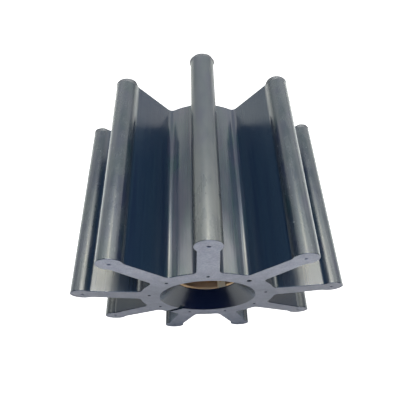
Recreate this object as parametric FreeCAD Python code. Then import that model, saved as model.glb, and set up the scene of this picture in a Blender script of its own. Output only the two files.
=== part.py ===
import FreeCAD, Part
import math
import os

# Flexible impeller of a marine raw-water pump: one rubber moulding bonded to a brass bush.
# It lies on its side, resting on the tips of two blades. The shaft's axis is Y and +Z is up.
# The origin is on the shaft's axis, at mid length. The front face, with the pits, is at -Y.
# All sizes are in millimetres and all angles in degrees.

# Rubber body, across the axis
blade_count = 9
first_blade_angle = 90.0
tip_radius = 54.0
tip_round_radius = 4.55
neck_thickness = 6.9
root_thickness = 8.2
neck_blend_radius = 2.2
root_fillet_radius = 2.4
hub_radius = 27.4

# Rubber body, along the axis
body_length = 81.0

# Funnel in each end of the hub, down to the bush's end face
funnel_mouth_radius = 19.6
funnel_floor_radius = 13.0
funnel_depth = 7.6

# Moulding pits in the front face
pit_radius = 0.65
pit_depth = 1.0
hub_pit_circle_radius = 23.8
torn_pit_radius = 0.95
torn_pit_angle = 50.0

# Shallow cut across the front lip of the hub
cut_start_angle = 236.0
cut_direction_angle = 218.0
cut_width = 2.4
cut_depth = 1.1

# Brass bush
shaft_bore_radius = 12.0
insert_wall = 4.0
insert_bore_chamfer = 0.4
keyway_width = 4.0
keyway_depth = 2.0
keyway_angle = -57.0
flute_count = 8
flute_radius = 1.5
flute_sink = 1.0

# Sizes that follow from the ones above
front_y = -body_length / 2
blade_pitch = 360.0 / blade_count
insert_end_y = body_length / 2 - funnel_depth
insert_length = 2 * insert_end_y
insert_radius = shaft_bore_radius + insert_wall

axis_y = FreeCAD.Vector(0, 1, 0)


def spot(radial, side, angle, y=0.0):
    """A point given along and across the direction that stands at an angle in the XZ plane."""
    turn = math.radians(angle)
    x = radial * math.cos(turn) - side * math.sin(turn)
    z = radial * math.sin(turn) + side * math.cos(turn)
    return FreeCAD.Vector(x, y, z)


def turned(points):
    """A solid of revolution about the shaft's axis, from (radius, y) points in order."""
    corners = [FreeCAD.Vector(radius, y, 0) for radius, y in points]
    outline = Part.makePolygon(corners + corners[:1])
    return Part.Face(outline).revolve(FreeCAD.Vector(0, 0, 0), axis_y, 360)


def drilled(radius, depth, radial, angle):
    """The tool of a round hole of some depth in the front face."""
    return Part.makeCylinder(radius, depth, spot(radial, 0, angle, front_y), axis_y)


class BladeOutline:
    """Half of one blade's section: points with u along the blade and v across it, on the v > 0 side."""

    def __init__(self):
        self.tip_centre = tip_radius - tip_round_radius
        half_root = root_thickness / 2
        half_neck = neck_thickness / 2
        taper = math.atan2(half_root - half_neck, self.tip_centre - hub_radius)
        self.along = (math.cos(taper), -math.sin(taper))
        self.outward = (math.sin(taper), math.cos(taper))
        self.base = (hub_radius, half_root)
        fillet_centre = self.touching(root_fillet_radius, (0.0, 0.0), hub_radius, outer=True)
        tip_middle = (self.tip_centre, 0.0)
        blend_centre = self.touching(neck_blend_radius, tip_middle, tip_round_radius, outer=False)
        self.fillet = self.corner(fillet_centre, root_fillet_radius, (0.0, 0.0))
        self.blend = self.corner(blend_centre, neck_blend_radius, tip_middle)
        self.blend.reverse()

    def touching(self, radius, centre, other_radius, outer):
        """The centre of an arc that touches the blade's side and a circle, on the side's free face."""
        start = [self.base[i] + radius * self.outward[i] - centre[i] for i in (0, 1)]
        reach = radius + other_radius
        middle = -(start[0] * self.along[0] + start[1] * self.along[1])
        off = start[0] ** 2 + start[1] ** 2 - middle ** 2
        swing = math.sqrt(reach ** 2 - off)
        travel = middle + swing if outer else middle - swing
        return [centre[i] + start[i] + travel * self.along[i] for i in (0, 1)]

    def corner(self, centre, radius, circle_centre):
        """Three points of such an arc: on the circle, halfway, and on the blade's side."""
        to_circle = math.atan2(circle_centre[1] - centre[1], circle_centre[0] - centre[0])
        to_side = math.atan2(-self.outward[1], -self.outward[0])
        halfway = to_circle + math.remainder(to_side - to_circle, 2 * math.pi) / 2
        angles = (to_circle, halfway, to_side)
        return [(centre[0] + radius * math.cos(a), centre[1] + radius * math.sin(a)) for a in angles]


def star_outline(y):
    """The closed outline of the hub with its blades, in the plane at y."""
    blade = BladeOutline()
    rising = blade.fillet + blade.blend
    edges = []
    for number in range(blade_count):
        angle = first_blade_angle + number * blade_pitch
        near = [spot(u, -v, angle, y) for u, v in rising]
        far = [spot(u, v, angle, y) for u, v in reversed(rising)]
        tip = spot(tip_radius, 0, angle, y)
        valley = spot(hub_radius, 0, angle + blade_pitch / 2, y)
        next_root = spot(rising[0][0], -rising[0][1], angle + blade_pitch, y)
        edges.append(Part.Arc(near[0], near[1], near[2]).toShape())
        edges.append(Part.LineSegment(near[2], near[3]).toShape())
        edges.append(Part.Arc(near[3], near[4], near[5]).toShape())
        edges.append(Part.Arc(near[5], tip, far[0]).toShape())
        edges.append(Part.Arc(far[0], far[1], far[2]).toShape())
        edges.append(Part.LineSegment(far[2], far[3]).toShape())
        edges.append(Part.Arc(far[3], far[4], far[5]).toShape())
        edges.append(Part.Arc(far[5], valley, next_root).toShape())
    return Part.Wire(edges)


def insert_blank():
    """The bush before boring: a round bar with lengthwise flutes that the rubber fills."""
    bar = Part.makeCylinder(insert_radius, insert_length, FreeCAD.Vector(0, -insert_end_y, 0), axis_y)
    tools = []
    for number in range(flute_count):
        angle = number * 360.0 / flute_count
        centre = spot(insert_radius - flute_sink + flute_radius, 0, angle, -insert_end_y)
        tools.append(Part.makeCylinder(flute_radius, insert_length, centre, axis_y))
    return bar.cut(tools)


def funnel_tool(side):
    """The tool of the funnel in one end of the hub."""
    mouth = side * body_length / 2
    floor = side * insert_end_y
    return turned([(0, floor), (funnel_floor_radius, floor), (funnel_mouth_radius, mouth), (0, mouth)])


def keyway_tool():
    """The tool of the shaft key's slot, from the axis out to the slot's floor, along the whole bush."""
    reach = shaft_bore_radius + keyway_depth
    corner = FreeCAD.Vector(0, -insert_end_y, -keyway_width / 2)
    slot = Part.makeBox(reach, insert_length, keyway_width, corner)
    slot.rotate(FreeCAD.Vector(0, 0, 0), axis_y, -keyway_angle)
    return slot


def lip_cut():
    """The tool of the shallow cut across the front lip, from inside the funnel out past the hub."""
    funnel_slope = (funnel_mouth_radius - funnel_floor_radius) / funnel_depth
    start_radius = funnel_mouth_radius - cut_depth * funnel_slope - cut_width
    block = Part.makeBox(hub_radius, cut_depth, cut_width, FreeCAD.Vector(0, front_y, -cut_width / 2))
    block.rotate(FreeCAD.Vector(0, 0, 0), axis_y, -cut_direction_angle)
    block.translate(spot(start_radius, 0, cut_start_angle))
    return block


def impeller_body():
    """The rubber moulding, hollow for the bush and open to its ends through the funnels."""
    star = Part.Face(star_outline(front_y)).extrude(axis_y * body_length)
    tools = [funnel_tool(-1), funnel_tool(1), insert_blank(), lip_cut()]
    for number in range(blade_count):
        angle = first_blade_angle + number * blade_pitch
        tools.append(drilled(pit_radius, pit_depth, hub_pit_circle_radius, angle))
        tools.append(drilled(pit_radius, pit_depth, tip_radius - tip_round_radius, angle))
    tools.append(drilled(torn_pit_radius, pit_depth, hub_pit_circle_radius, torn_pit_angle))
    return star.cut(tools)


def shaft_insert():
    """The brass bush, bored and slotted for the shaft and its key."""
    bore = turned([
        (0, -insert_end_y),
        (shaft_bore_radius + insert_bore_chamfer, -insert_end_y),
        (shaft_bore_radius, -insert_end_y + insert_bore_chamfer),
        (shaft_bore_radius, insert_end_y - insert_bore_chamfer),
        (shaft_bore_radius + insert_bore_chamfer, insert_end_y),
        (0, insert_end_y),
    ])
    return insert_blank().cut([bore, keyway_tool()])


def save(shape, node):
    """Writes one piece as a STEP file named after its node."""
    print(node, shape.ShapeType, len(shape.Solids), round(shape.Volume), shape.isValid())
    shape.exportStep("parts/" + node + ".step")


os.makedirs("parts", exist_ok=True)
save(impeller_body(), "impeller_body")
save(shaft_insert(), "shaft_insert")
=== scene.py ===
import math
import random
import bmesh
import bpy
from mathutils import Euler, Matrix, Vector


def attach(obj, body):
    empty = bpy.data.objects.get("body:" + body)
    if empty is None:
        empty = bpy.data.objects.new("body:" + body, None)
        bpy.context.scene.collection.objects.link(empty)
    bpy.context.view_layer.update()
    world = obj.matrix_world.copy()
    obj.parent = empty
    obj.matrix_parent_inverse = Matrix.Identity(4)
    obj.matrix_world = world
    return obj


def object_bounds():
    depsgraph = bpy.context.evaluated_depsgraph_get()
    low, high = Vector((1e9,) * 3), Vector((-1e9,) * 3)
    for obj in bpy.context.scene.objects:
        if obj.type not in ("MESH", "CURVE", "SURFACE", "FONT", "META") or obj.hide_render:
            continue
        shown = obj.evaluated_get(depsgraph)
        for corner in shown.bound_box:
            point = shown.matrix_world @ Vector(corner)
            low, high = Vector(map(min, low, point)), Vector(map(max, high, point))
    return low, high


# Dresses the pump impeller: dark navy moulded rubber, matt end faces and a dull brass bush, on a white
# ground under soft panels. Lengths are in metres, and angles in degrees unless a comment says otherwise.

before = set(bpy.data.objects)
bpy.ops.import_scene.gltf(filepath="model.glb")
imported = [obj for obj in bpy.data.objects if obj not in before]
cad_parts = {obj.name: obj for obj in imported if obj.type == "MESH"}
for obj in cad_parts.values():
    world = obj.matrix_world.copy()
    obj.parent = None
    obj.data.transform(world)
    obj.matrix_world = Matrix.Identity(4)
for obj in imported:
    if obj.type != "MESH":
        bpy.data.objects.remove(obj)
cad_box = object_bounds()
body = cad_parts["impeller_body"]
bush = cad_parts["shaft_insert"]
low_corner, high_corner = cad_box

# Camera, fitted to the photograph. PX is in the photograph's pixels, and the sensor in millimetres.
CAMERA_PLACE = (-0.0024, -0.0856, 0.1483)
CAMERA_TURN = (29.567, -0.612, -2.012)
FOCAL_PX = 367.6
OPTICAL_CENTRE_PX = (209.5, 214.5)
PHOTO_PX = 416
SENSOR = 36.0
NEAREST_SEEN = 0.005
FARTHEST_SEEN = 10.0

# Sizes of the rubber that the finishes follow. The bead is a blade's round tip, and a face whose centre
# is no further than the tolerance from an end plane is an end face.
BLADE_COUNT = 9
FIRST_BLADE = 90.0
TIP_RADIUS = high_corner.z
BEAD_RADIUS = 0.00455
BEAD_MIDDLE = TIP_RADIUS - BEAD_RADIUS
BEAD_START = TIP_RADIUS - 2 * BEAD_RADIUS
HUB_RADIUS = 0.0274
PIT_RADIUS = 0.0009
PIT_DEPTH = 0.0012
END_TOLERANCE = 0.0001

# Where the keyway's faces lie in the brass: their angle, half their spread in radians, the radius that
# they begin at, and just short of the bush's ends
KEYWAY_ANGLE = -57.0
KEYWAY_REACH = 0.2
BORE_EDGE_RADIUS = 0.01235
BUSH_END = 0.0328

# Shading: faces of the solids that meet at less than an angle look like one smooth surface, and edges
# look rounded by a radius
SMOOTH_BELOW = 25.0
RUBBER_ROUNDING = 0.0005
BRASS_ROUNDING = 0.0002
FLASH_ROUNDING = 0.0001
ROUNDING_SAMPLES = 8

# Depth of each finish's relief
STREAK_DEPTH = 0.000008
TORN_DEPTH = 0.00002
GRAIN_DEPTH = 0.00003
RING_DEPTH = 0.00001

# Noise of the finishes: grains per metre, detail, and for some a share for each axis, where a small
# share pulls the grains long. Most finishes spread a middle part of its values over 0 to 1.
STREAKS = (1400, 3.0, (1, 0.02, 1))
BANDS = (330, 3.0, (1, 0.04, 1))
BLOTCHES = (260, 4.0, (1, 0.5, 1))
TINTS = (150, 2.0, (1, 0.5, 1))
TORN_GRAIN = (1200, 4.0)
FINE_GRAIN = (1500, 4.0)
MOTTLE = (250, 5.0)
RINGS = (900, 2.0, (0.05, 1, 0.05))
MIDDLE = (0.35, 0.65)
WIDE_MIDDLE = (0.3, 0.7)

# Where one look of the moulded rubber turns into another by radius, by height, and along the shaft
FUNNEL_TO_OUTSIDE = (0.0194, 0.0202)
VALLEY_TO_FLANK = (HUB_RADIUS + 0.0005, HUB_RADIUS + 0.003)
FLANK_TO_BEAD = (BEAD_START + 0.0018, BEAD_START + 0.0036)
REST_TO_TOPMOST = (0.0435, 0.0475)
BARE_TO_DUST_AND_HIGHLIGHT = (0.0455, 0.0525)
DUST_AND_HIGHLIGHT_TO_FRONT = (0.016, -0.040)
DULL_TO_BACK = (-0.035, 0.025)

# Colours of the moulded rubber. The film on the topmost bead is dust and a painted highlight, lighter
# towards the front.
# The funnel's navy is darker than the flanks' as painted shade.
FUNNEL_SHADE_NAVY = (0.003, 0.006, 0.020)
FLANK_DARK = (0.004, 0.009, 0.021)
FLANK_LIGHT = (0.006, 0.013, 0.025)
FLANK_STREAK = (0.007, 0.015, 0.026)
VALLEY_TEAL = (0.009, 0.021, 0.024)
VALLEY_VIOLET = (0.019, 0.019, 0.031)
BEAD_TEAL = (0.006, 0.013, 0.018)
BEAD_NAVY = (0.008, 0.011, 0.022)
BEAD_RUBBED = (0.017, 0.022, 0.027)
DUST_AND_HIGHLIGHT_COLOUR = (0.046, 0.048, 0.046)
SPECK_COLOUR = (0.08, 0.09, 0.09)

# How strongly those marks show, and how far apart and how large the specks are
STREAK_SHARE = 0.5
VALLEY_SHARE = 0.9
RUBBED_SHARE = 0.6
DUST_AND_HIGHLIGHT_AT_BACK = 0.04
DUST_AND_HIGHLIGHT_BETWEEN_BLOTCHES = 0.75
SPECK_SPACING = 0.0045
SPECK_RADIUS = 0.0003

# Roughness of the moulded rubber, and what each mark adds to it or, for the polish, takes away. The
# topmost bead has more of it, least in front and most at the back.
FLANK_ROUGHNESS = 0.185
BEAD_ROUGHNESS = 0.215
VALLEY_POLISH = 0.055
BLOTCH_ROUGHNESS = 0.05
STREAK_ROUGHNESS = 0.02
TOPMOST_ROUGHNESS = (0.0325, 0.13)

# Flash: two colours and a roughness
TORN_COLOURS = ((0.020, 0.022, 0.028), (0.040, 0.042, 0.048))
TORN_ROUGHNESS = 0.5

# End faces, ground flat: two colours low down, darker as painted shade, two higher up, lighter as painted
# light, the heights between them, fine pits, and how rough and how glossy they are
LOW_SHADED_COLOURS = ((0.126, 0.124, 0.152), (0.154, 0.149, 0.180))
HIGH_LIT_COLOURS = ((0.258, 0.252, 0.300), (0.304, 0.298, 0.348))
SHADED_TO_LIT = (0.004, 0.036)
FINE_PIT_COLOUR = (0.085, 0.085, 0.110)
FINE_PIT_SHARE = 0.3
END_ROUGHNESS = 0.6
END_GLOSS = 0.3

# Brass: its name, two colours, how metallic and how rough it is
TARNISHED = ("dull_brass", (0.33, 0.21, 0.12), (0.45, 0.30, 0.17), 0.7, 0.5)
# The keyway's brass is pale, bright and less metallic: a painted highlight on its walls and floor
KEYWAY_HIGHLIGHT = ("keyway_highlight_brass", (0.80, 0.68, 0.48), (0.92, 0.80, 0.60), 0.3, 0.35)

# Moulding flash around the back ends of the tips. It goes round each tip by the sweep to both sides, is
# lowest at the crown, fades out at its ends and is rippled by waves. Its section begins at the start and
# ends at the length, both sunk into the rubber by the root. Between them the crest gives shares of its
# height, each with a place. Start, length and places are distances from the end plane.
FLASH_SEED = 5
FLASH_STEPS = 40
FLASH_SWEEP = 112.0
FLASH_HEIGHT = 0.00036
FLASH_CROWN = 0.15
FLASH_FADE = 6
FLASH_START = 0.0001
FLASH_LENGTH = 0.0018
FLASH_ROOT = 0.0001
FLASH_CREST = ((1.0, 0.0), (0.7, 0.0004), (0.2, 0.0010))
FLASH_SMOOTH_BELOW = 40.0
WAVE_COUNT = 4
WAVE_RATES = (2, 9)
WAVE_SHARE = 0.12

# Floor: half its width, the pale table that the object mirrors, and the glowing white sheet just under
# it that the camera sees, with its strength
FLOOR_REACH = 3.0
TABLE_COLOUR = (0.74, 0.73, 0.70)
WHITE_COLOUR = (0.9, 0.9, 0.9)
WHITE_DROP = 0.0005
WHITE_GLOW = 1.5

# Soft panels on a ceiling 1 m up and on the walls around: name, place, facing, size, radiance and colour
DOWN = (0, 0, -1)
TO_FRONT = (0, -1, 0)
TO_LEFT = (-1, 0, 0)
TO_RIGHT = (1, 0, 0)
PANELS = [
    ("ceiling_front", (0, -0.40, 1.0), DOWN, (0.7, 0.30), 8.5, (0.55, 0.72, 1.0)),
    ("ceiling_middle", (0, -0.10, 1.0), DOWN, (0.7, 0.30), 6.8, (0.65, 0.82, 1.0)),
    ("ceiling_over", (0, 0.135, 1.0), DOWN, (0.7, 0.17), 28.5, (1.0, 0.99, 0.93)),
    ("ceiling_flank", (0.775, -0.015, 1.0), DOWN, (0.85, 0.47), 6.5, (0.98, 1.0, 0.97)),
    ("ceiling_gap", (0, 0.28, 1.0), DOWN, (1.0, 0.12), 2.4, (1.0, 0.95, 0.78)),
    ("near_left", (-0.825, 0.40, 1.0), DOWN, (1.15, 0.12), 7.3, (0.95, 1.0, 0.92)),
    ("near_centre", (0, 0.40, 1.0), DOWN, (0.5, 0.12), 9.5, (1.0, 0.98, 0.86)),
    ("near_core", (0, 0.40, 0.99), DOWN, (0.18, 0.14), 11.0, (1.0, 0.98, 0.74)),
    ("near_right", (0.825, 0.40, 1.0), DOWN, (1.15, 0.12), 7.4, (0.96, 1.0, 0.90)),
    ("mid_left", (-0.95, 0.53, 1.0), DOWN, (0.9, 0.14), 5.0, (0.98, 1.0, 1.0)),
    ("mid_centre", (0, 0.53, 1.0), DOWN, (1.0, 0.14), 4.5, (0.82, 0.91, 1.0)),
    ("mid_right", (0.95, 0.53, 1.0), DOWN, (0.9, 0.14), 7.2, (1.0, 1.0, 0.98)),
    ("ceiling_far", (0, 0.85, 1.0), DOWN, (2.8, 0.50), 1.4, (0.95, 1.0, 1.0)),
    ("ceiling_end", (0, 1.35, 1.0), DOWN, (2.8, 0.50), 2.65, (0.99, 1.0, 0.94)),
    ("back_low", (0, 1.6, 0.225), TO_FRONT, (2.8, 0.45), 0.7, (1.0, 1.0, 1.0)),
    ("back_high", (0, 1.6, 0.725), TO_FRONT, (2.8, 0.55), 2.0, (0.96, 0.99, 1.0)),
    ("left_low", (-1.4, 0.95, 0.175), TO_RIGHT, (1.3, 0.45), 1.55, (0.94, 1.0, 0.98)),
    ("left_high", (-1.4, 0.95, 0.70), TO_RIGHT, (1.3, 0.60), 2.0, (0.98, 1.0, 0.94)),
    ("right_low", (1.4, 0.95, 0.175), TO_LEFT, (1.3, 0.45), 1.25, (0.97, 0.97, 1.0)),
    ("right_high", (1.4, 0.95, 0.70), TO_LEFT, (1.3, 0.60), 2.45, (1.0, 1.0, 0.98)),
]


def make_camera():
    """The camera that took the photograph, with the small shift of its optical centre."""
    data = bpy.data.cameras.new("photo_camera")
    data.sensor_width = SENSOR
    data.lens = SENSOR * FOCAL_PX / PHOTO_PX
    data.shift_x = (PHOTO_PX / 2 - OPTICAL_CENTRE_PX[0]) / PHOTO_PX
    data.shift_y = (OPTICAL_CENTRE_PX[1] - PHOTO_PX / 2) / PHOTO_PX
    data.clip_start = NEAREST_SEEN
    data.clip_end = FARTHEST_SEEN
    camera = bpy.data.objects.new("photo_camera", data)
    camera.location = CAMERA_PLACE
    camera.rotation_euler = Euler([math.radians(angle) for angle in CAMERA_TURN])
    bpy.context.scene.collection.objects.link(camera)
    bpy.context.scene.camera = camera


def make_floor(name, height, colour, glow, seen):
    """A wide level sheet: either the one that the camera sees, or the one that the object mirrors."""
    mesh = bpy.data.meshes.new(name)
    low, high = -FLOOR_REACH, FLOOR_REACH
    corners = [(low, low), (high, low), (high, high), (low, high)]
    mesh.from_pydata([(x, y, height) for x, y in corners], [], [(0, 1, 2, 3)])
    card = bpy.data.objects.new(name, mesh)
    card.visible_camera = seen
    card.visible_diffuse = not seen
    card.visible_glossy = not seen
    card.visible_shadow = not seen
    bpy.context.scene.collection.objects.link(card)
    material = bpy.data.materials.new(name)
    material.use_nodes = True
    shader = material.node_tree.nodes["Principled BSDF"]
    shader.inputs["Base Color"].default_value = (*colour, 1)
    shader.inputs["Roughness"].default_value = 1.0
    shader.inputs["Specular IOR Level"].default_value = 0.0
    shader.inputs["Emission Color"].default_value = (1, 1, 1, 1)
    shader.inputs["Emission Strength"].default_value = glow
    mesh.materials.append(material)


def make_light(name, place, facing, size, radiance, colour):
    """A soft panel of that size, as bright as its radiance says."""
    data = bpy.data.lights.new(name, "AREA")
    data.shape = "RECTANGLE"
    data.size, data.size_y = size
    data.energy = radiance * math.pi * size[0] * size[1]
    data.color = colour
    light = bpy.data.objects.new(name, data)
    light.location = place
    light.rotation_euler = Vector(facing).to_track_quat("-Z", "Y").to_euler()
    bpy.context.scene.collection.objects.link(light)


def make_world():
    """White all around beyond the floor, for the camera alone: the panels give all the light."""
    world = bpy.data.worlds.new("white_surround")
    bpy.context.scene.world = world
    world.use_nodes = True
    background = world.node_tree.nodes["Background"]
    background.inputs["Color"].default_value = (1, 1, 1, 1)
    background.inputs["Strength"].default_value = WHITE_GLOW
    world.cycles_visibility.diffuse = False
    world.cycles_visibility.glossy = False
    world.cycles_visibility.transmission = False
    world.cycles_visibility.scatter = False


class Finish:
    """A material whose nodes are added one by one."""

    def __init__(self, name):
        self.material = bpy.data.materials.new(name)
        self.material.use_nodes = True
        self.tree = self.material.node_tree
        self.shader = self.tree.nodes["Principled BSDF"]

    def add(self, kind, **settings):
        """A new node of some kind."""
        node = self.tree.nodes.new(kind)
        for key, value in settings.items():
            setattr(node, key, value)
        return node

    def link(self, output, target):
        """Leads a node's output into another node's socket."""
        self.tree.links.new(output, target)

    def fill(self, name, value):
        """Gives one of the shader's sockets the same value all over."""
        self.shader.inputs[name].default_value = value

    def place(self):
        """The place on the object, in its own coordinates."""
        return self.add("ShaderNodeTexCoord").outputs["Object"]

    def noise(self, scale, detail, stretch=(1, 1, 1)):
        """Noise with grains about 1 / scale metres wide, pulled along by the stretch."""
        mapping = self.add("ShaderNodeMapping")
        mapping.inputs["Scale"].default_value = stretch
        self.link(self.place(), mapping.inputs["Vector"])
        noise = self.add("ShaderNodeTexNoise")
        noise.inputs["Scale"].default_value = scale
        noise.inputs["Detail"].default_value = detail
        self.link(mapping.outputs["Vector"], noise.inputs["Vector"])
        return noise.outputs["Fac"]

    def specks(self, spacing, radius):
        """One in round specks of some radius, where a grid's scattered points meet the surface."""
        cells = self.add("ShaderNodeTexVoronoi")
        cells.inputs["Scale"].default_value = 1 / spacing
        self.link(self.place(), cells.inputs["Vector"])
        reach = radius / spacing
        return self.ranged(cells.outputs["Distance"], reach, reach / 2)

    def ranged(self, value, start, end, low=0.0, high=1.0):
        """Goes smoothly from low to high while the value goes from start to end."""
        node = self.add("ShaderNodeMapRange", interpolation_type="SMOOTHSTEP")
        node.inputs["From Min"].default_value = start
        node.inputs["From Max"].default_value = end
        node.inputs["To Min"].default_value = low
        node.inputs["To Max"].default_value = high
        self.link(value, node.inputs["Value"])
        return node.outputs["Result"]

    def along(self, axis):
        """The place along one axis: X, Y or Z."""
        parts = self.add("ShaderNodeSeparateXYZ")
        self.link(self.place(), parts.inputs["Vector"])
        return parts.outputs[axis]

    def maths(self, operation, first, second):
        """The result of an operation on two values, each a number or a socket."""
        node = self.add("ShaderNodeMath", operation=operation)
        for socket, value in zip(node.inputs, (first, second)):
            if isinstance(value, (int, float)):
                socket.default_value = value
            else:
                self.link(value, socket)
        return node.outputs["Value"]

    def times(self, first, second):
        """The product of two values."""
        return self.maths("MULTIPLY", first, second)

    def plus(self, first, second):
        """The sum of two values."""
        return self.maths("ADD", first, second)

    def blend(self, factor, first, second):
        """A colour between two, each given as three numbers or as a socket."""
        node = self.add("ShaderNodeMix", data_type="RGBA")
        self.link(factor, node.inputs["Factor"])
        for socket, value in ((node.inputs[6], first), (node.inputs[7], second)):
            if isinstance(value, tuple):
                socket.default_value = (*value, 1)
            else:
                self.link(value, socket)
        return node.outputs[2]

    def radius(self):
        """The distance from the shaft's axis."""
        flat = self.add("ShaderNodeVectorMath", operation="MULTIPLY")
        flat.inputs[1].default_value = (1, 0, 1)
        self.link(self.place(), flat.inputs[0])
        length = self.add("ShaderNodeVectorMath", operation="LENGTH")
        self.link(flat.outputs["Vector"], length.inputs[0])
        return length.outputs["Value"]

    def surface(self, height, depth, rounding):
        """Rounds the edges and adds relief of some depth."""
        edges = self.add("ShaderNodeBevel", samples=ROUNDING_SAMPLES)
        edges.inputs["Radius"].default_value = rounding
        bump = self.add("ShaderNodeBump")
        bump.inputs["Distance"].default_value = depth
        self.link(height, bump.inputs["Height"])
        self.link(edges.outputs["Normal"], bump.inputs["Normal"])
        self.link(bump.outputs["Normal"], self.shader.inputs["Normal"])


def moulded_rubber():
    """Glossy navy rubber: streaked flanks, worn valleys, a funnel painted darker as shade, and round tips
    with tints and specks, the topmost also with dust and a painted highlight.
    """
    finish = Finish("moulded_rubber")
    radius = finish.radius()
    bead = finish.ranged(radius, *FLANK_TO_BEAD)
    outside = finish.ranged(radius, *FUNNEL_TO_OUTSIDE)
    streaks = finish.ranged(finish.noise(*STREAKS), *WIDE_MIDDLE)
    bands = finish.ranged(finish.noise(*BANDS), *MIDDLE)
    blotches = finish.ranged(finish.noise(*BLOTCHES), *MIDDLE)
    tint = finish.ranged(finish.noise(*TINTS), *MIDDLE)

    flank = finish.blend(bands, FLANK_DARK, FLANK_LIGHT)
    flank = finish.blend(finish.times(streaks, STREAK_SHARE), flank, FLANK_STREAK)
    valley = finish.ranged(radius, *VALLEY_TO_FLANK, VALLEY_SHARE, 0.0)
    worn = finish.blend(tint, VALLEY_TEAL, VALLEY_VIOLET)
    flank = finish.blend(finish.times(valley, streaks), flank, worn)
    # Painted shade: the funnel is a darker navy than the flanks
    smooth = finish.blend(outside, FUNNEL_SHADE_NAVY, flank)
    rubbed = finish.blend(tint, BEAD_TEAL, BEAD_NAVY)
    rubbed = finish.blend(finish.times(blotches, RUBBED_SHARE), rubbed, BEAD_RUBBED)
    colour = finish.blend(bead, smooth, rubbed)
    topmost = finish.ranged(finish.along("Z"), *REST_TO_TOPMOST)
    # Dust and a painted highlight on the topmost bead, lighter towards the front where the highlight falls
    dust_and_highlight = finish.ranged(finish.along("Z"), *BARE_TO_DUST_AND_HIGHLIGHT)
    dust_and_highlight = finish.times(dust_and_highlight, finish.ranged(finish.along("Y"), *DUST_AND_HIGHLIGHT_TO_FRONT, DUST_AND_HIGHLIGHT_AT_BACK, 1.0))
    dust_and_highlight = finish.times(dust_and_highlight, finish.ranged(blotches, 0.0, 1.0, DUST_AND_HIGHLIGHT_BETWEEN_BLOTCHES, 1.0))
    colour = finish.blend(dust_and_highlight, colour, DUST_AND_HIGHLIGHT_COLOUR)
    specks = finish.times(finish.specks(SPECK_SPACING, SPECK_RADIUS), bead)
    colour = finish.blend(specks, colour, SPECK_COLOUR)
    finish.link(colour, finish.shader.inputs["Base Color"])

    roughness = finish.ranged(bead, 0.0, 1.0, FLANK_ROUGHNESS, BEAD_ROUGHNESS)
    polish = finish.times(finish.times(valley, outside), VALLEY_POLISH)
    roughness = finish.maths("SUBTRACT", roughness, polish)
    dullness = finish.ranged(finish.along("Y"), *DULL_TO_BACK, *TOPMOST_ROUGHNESS)
    roughness = finish.plus(roughness, finish.times(blotches, BLOTCH_ROUGHNESS))
    roughness = finish.plus(roughness, finish.times(streaks, STREAK_ROUGHNESS))
    roughness = finish.plus(roughness, finish.times(topmost, dullness))
    finish.link(roughness, finish.shader.inputs["Roughness"])
    finish.surface(streaks, STREAK_DEPTH, RUBBER_ROUNDING)
    return finish.material


def torn_rubber():
    """Thin rubber skin where the mould's halves met, dull and uneven."""
    finish = Finish("torn_rubber")
    grain = finish.noise(*TORN_GRAIN)
    finish.link(finish.blend(grain, *TORN_COLOURS), finish.shader.inputs["Base Color"])
    finish.fill("Roughness", TORN_ROUGHNESS)
    finish.surface(grain, TORN_DEPTH, FLASH_ROUNDING)
    return finish.material


def ground_rubber():
    """Matt lilac-grey rubber, finely pitted and mottled, painted lighter towards the top and darker low down
    as light and shade.
    """
    finish = Finish("ground_rubber")
    grain = finish.noise(*FINE_GRAIN)
    mottle = finish.ranged(finish.noise(*MOTTLE), *MIDDLE)
    # Painted light and shade: the end faces are lighter towards the top and darker low down
    lit_share = finish.ranged(finish.along("Z"), *SHADED_TO_LIT)
    shaded_colour = finish.blend(mottle, *LOW_SHADED_COLOURS)
    lit_colour = finish.blend(mottle, *HIGH_LIT_COLOURS)
    colour = finish.blend(lit_share, shaded_colour, lit_colour)
    fine_pits = finish.ranged(grain, *MIDDLE, 0.0, FINE_PIT_SHARE)
    colour = finish.blend(fine_pits, colour, FINE_PIT_COLOUR)
    finish.link(colour, finish.shader.inputs["Base Color"])
    finish.fill("Roughness", END_ROUGHNESS)
    finish.fill("Specular IOR Level", END_GLOSS)
    finish.surface(grain, GRAIN_DEPTH, RUBBER_ROUNDING)
    return finish.material


def brass(name, dark, light, metallic, roughness):
    """Brass between two colours, with the fine rings of its boring."""
    finish = Finish(name)
    rings = finish.noise(*RINGS)
    finish.link(finish.blend(rings, dark, light), finish.shader.inputs["Base Color"])
    finish.fill("Metallic", metallic)
    finish.fill("Roughness", roughness)
    finish.surface(rings, RING_DEPTH, BRASS_ROUNDING)
    return finish.material


def flash_profile(share, waves):
    """The flash's section at a share of its sweep, -1 to 1: distances off the tip and from the end plane."""
    swing = math.radians(FLASH_SWEEP) * share
    uneven = 1 + WAVE_SHARE * sum(math.sin(rate * swing + phase) for rate, phase in waves)
    rise = FLASH_CROWN + (1 - FLASH_CROWN) * math.sin(swing) ** 2
    height = FLASH_HEIGHT * rise * uneven * min(1, FLASH_FADE * (1 - abs(share)))
    crest = [(part * height, inset) for part, inset in FLASH_CREST]
    return [(-FLASH_ROOT, FLASH_START), *crest, (-FLASH_ROOT, FLASH_LENGTH)]


def flash_rings(blade, waves):
    """One tip's flash as rings of points, from one end of its sweep to the other."""
    middle = Vector((math.cos(blade), 0, math.sin(blade))) * BEAD_MIDDLE
    rings = []
    for step in range(FLASH_STEPS + 1):
        share = 2 * step / FLASH_STEPS - 1
        angle = blade + math.radians(FLASH_SWEEP) * share
        outward = Vector((math.cos(angle), 0, math.sin(angle)))
        ring = []
        for reach, inset in flash_profile(share, waves):
            point = middle + outward * (BEAD_RADIUS + reach)
            ring.append((point.x, high_corner.y - inset, max(point.z, low_corner.z)))
        rings.append(ring)
    return rings


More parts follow.
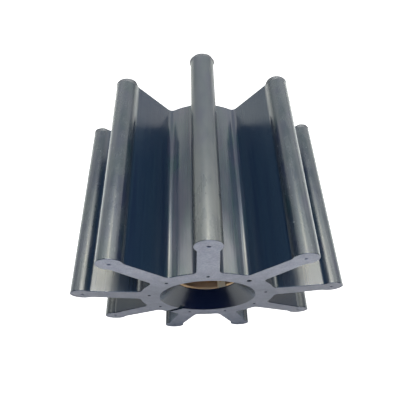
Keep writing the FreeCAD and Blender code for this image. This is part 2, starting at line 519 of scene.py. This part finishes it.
def strip_faces(rings, first):
    """The faces that join rings into one closed strip, where the rings' points are numbered from first."""
    sides = len(rings[0])
    last = first + sides * len(rings) - 1
    faces = []
    for near in range(first, last - sides, sides):
        far = near + sides
        for side in range(sides):
            after = (side + 1) % sides
            faces.append((near + side, near + after, far + after, far + side))
    faces.append(tuple(range(first, first + sides)))
    faces.append(tuple(range(last, last - sides, -1)))
    return faces


def make_flash(material):
    """A thin uneven skin of rubber around the back ends of the round tips, as the mould leaves it."""
    chance = random.Random(FLASH_SEED)
    points = []
    faces = []
    for number in range(BLADE_COUNT):
        blade = math.radians(FIRST_BLADE + number * 360 / BLADE_COUNT)
        waves = [(chance.uniform(*WAVE_RATES), chance.uniform(0, 2 * math.pi)) for _ in range(WAVE_COUNT)]
        rings = flash_rings(blade, waves)
        faces.extend(strip_faces(rings, len(points)))
        for ring in rings:
            points.extend(ring)
    mesh = bpy.data.meshes.new("tip_flash")
    mesh.from_pydata(points, [], faces)
    shell = bmesh.new()
    shell.from_mesh(mesh)
    bmesh.ops.recalc_face_normals(shell, faces=shell.faces)
    shell.to_mesh(mesh)
    shell.free()
    mesh.materials.append(material)
    flash = bpy.data.objects.new("tip_flash", mesh)
    bpy.context.scene.collection.objects.link(flash)
    mesh.shade_smooth()
    mesh.set_sharp_from_angle(angle=math.radians(FLASH_SMOOTH_BELOW))
    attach(flash, "root")


def in_tip_pit(place):
    """Whether a place lies in one of the shallow pits in the tips' front ends, which take the end faces'
    look.
    """
    pitch = 2 * math.pi / BLADE_COUNT
    start = math.radians(FIRST_BLADE)
    blade = start + pitch * round((math.atan2(place.z, place.x) - start) / pitch)
    middle = Vector((math.cos(blade), math.sin(blade))) * BEAD_MIDDLE
    off_centre = (Vector((place.x, place.z)) - middle).length
    return place.y < low_corner.y + PIT_DEPTH and off_centre < PIT_RADIUS


def is_matt(place):
    """Whether a place has the look of the ground ends: on an end face, or in a tip's pit."""
    off_end = min(place.y - low_corner.y, high_corner.y - place.y)
    return off_end < END_TOLERANCE or in_tip_pit(place)


def in_keyway(place):
    """Whether a place lies on the keyway's walls or floor, which are painted bright as a highlight."""
    turn = math.remainder(math.atan2(place.z, place.x) - math.radians(KEYWAY_ANGLE), 2 * math.pi)
    beyond_bore = math.hypot(place.x, place.z) > BORE_EDGE_RADIUS
    return abs(turn) < KEYWAY_REACH and beyond_bore and abs(place.y) < BUSH_END


def dress(node, usual, special, is_special):
    """Gives a solid two materials: the special one where the test says so, and the usual one elsewhere."""
    mesh = node.data
    mesh.materials.clear()
    mesh.materials.append(usual)
    mesh.materials.append(special)
    mesh.shade_smooth()
    mesh.set_sharp_from_angle(angle=math.radians(SMOOTH_BELOW))
    for polygon in mesh.polygons:
        polygon.material_index = 1 if is_special(polygon.center) else 0


bpy.context.scene.view_settings.view_transform = "Standard"
make_camera()

floor = low_corner.z
make_floor("table", floor, TABLE_COLOUR, 0.0, seen=False)
make_floor("white_ground", floor - WHITE_DROP, WHITE_COLOUR, WHITE_GLOW, seen=True)
make_world()
for panel in PANELS:
    make_light(*panel)

dress(body, moulded_rubber(), ground_rubber(), is_matt)
dress(bush, brass(*TARNISHED), brass(*KEYWAY_HIGHLIGHT), in_keyway)
make_flash(torn_rubber())
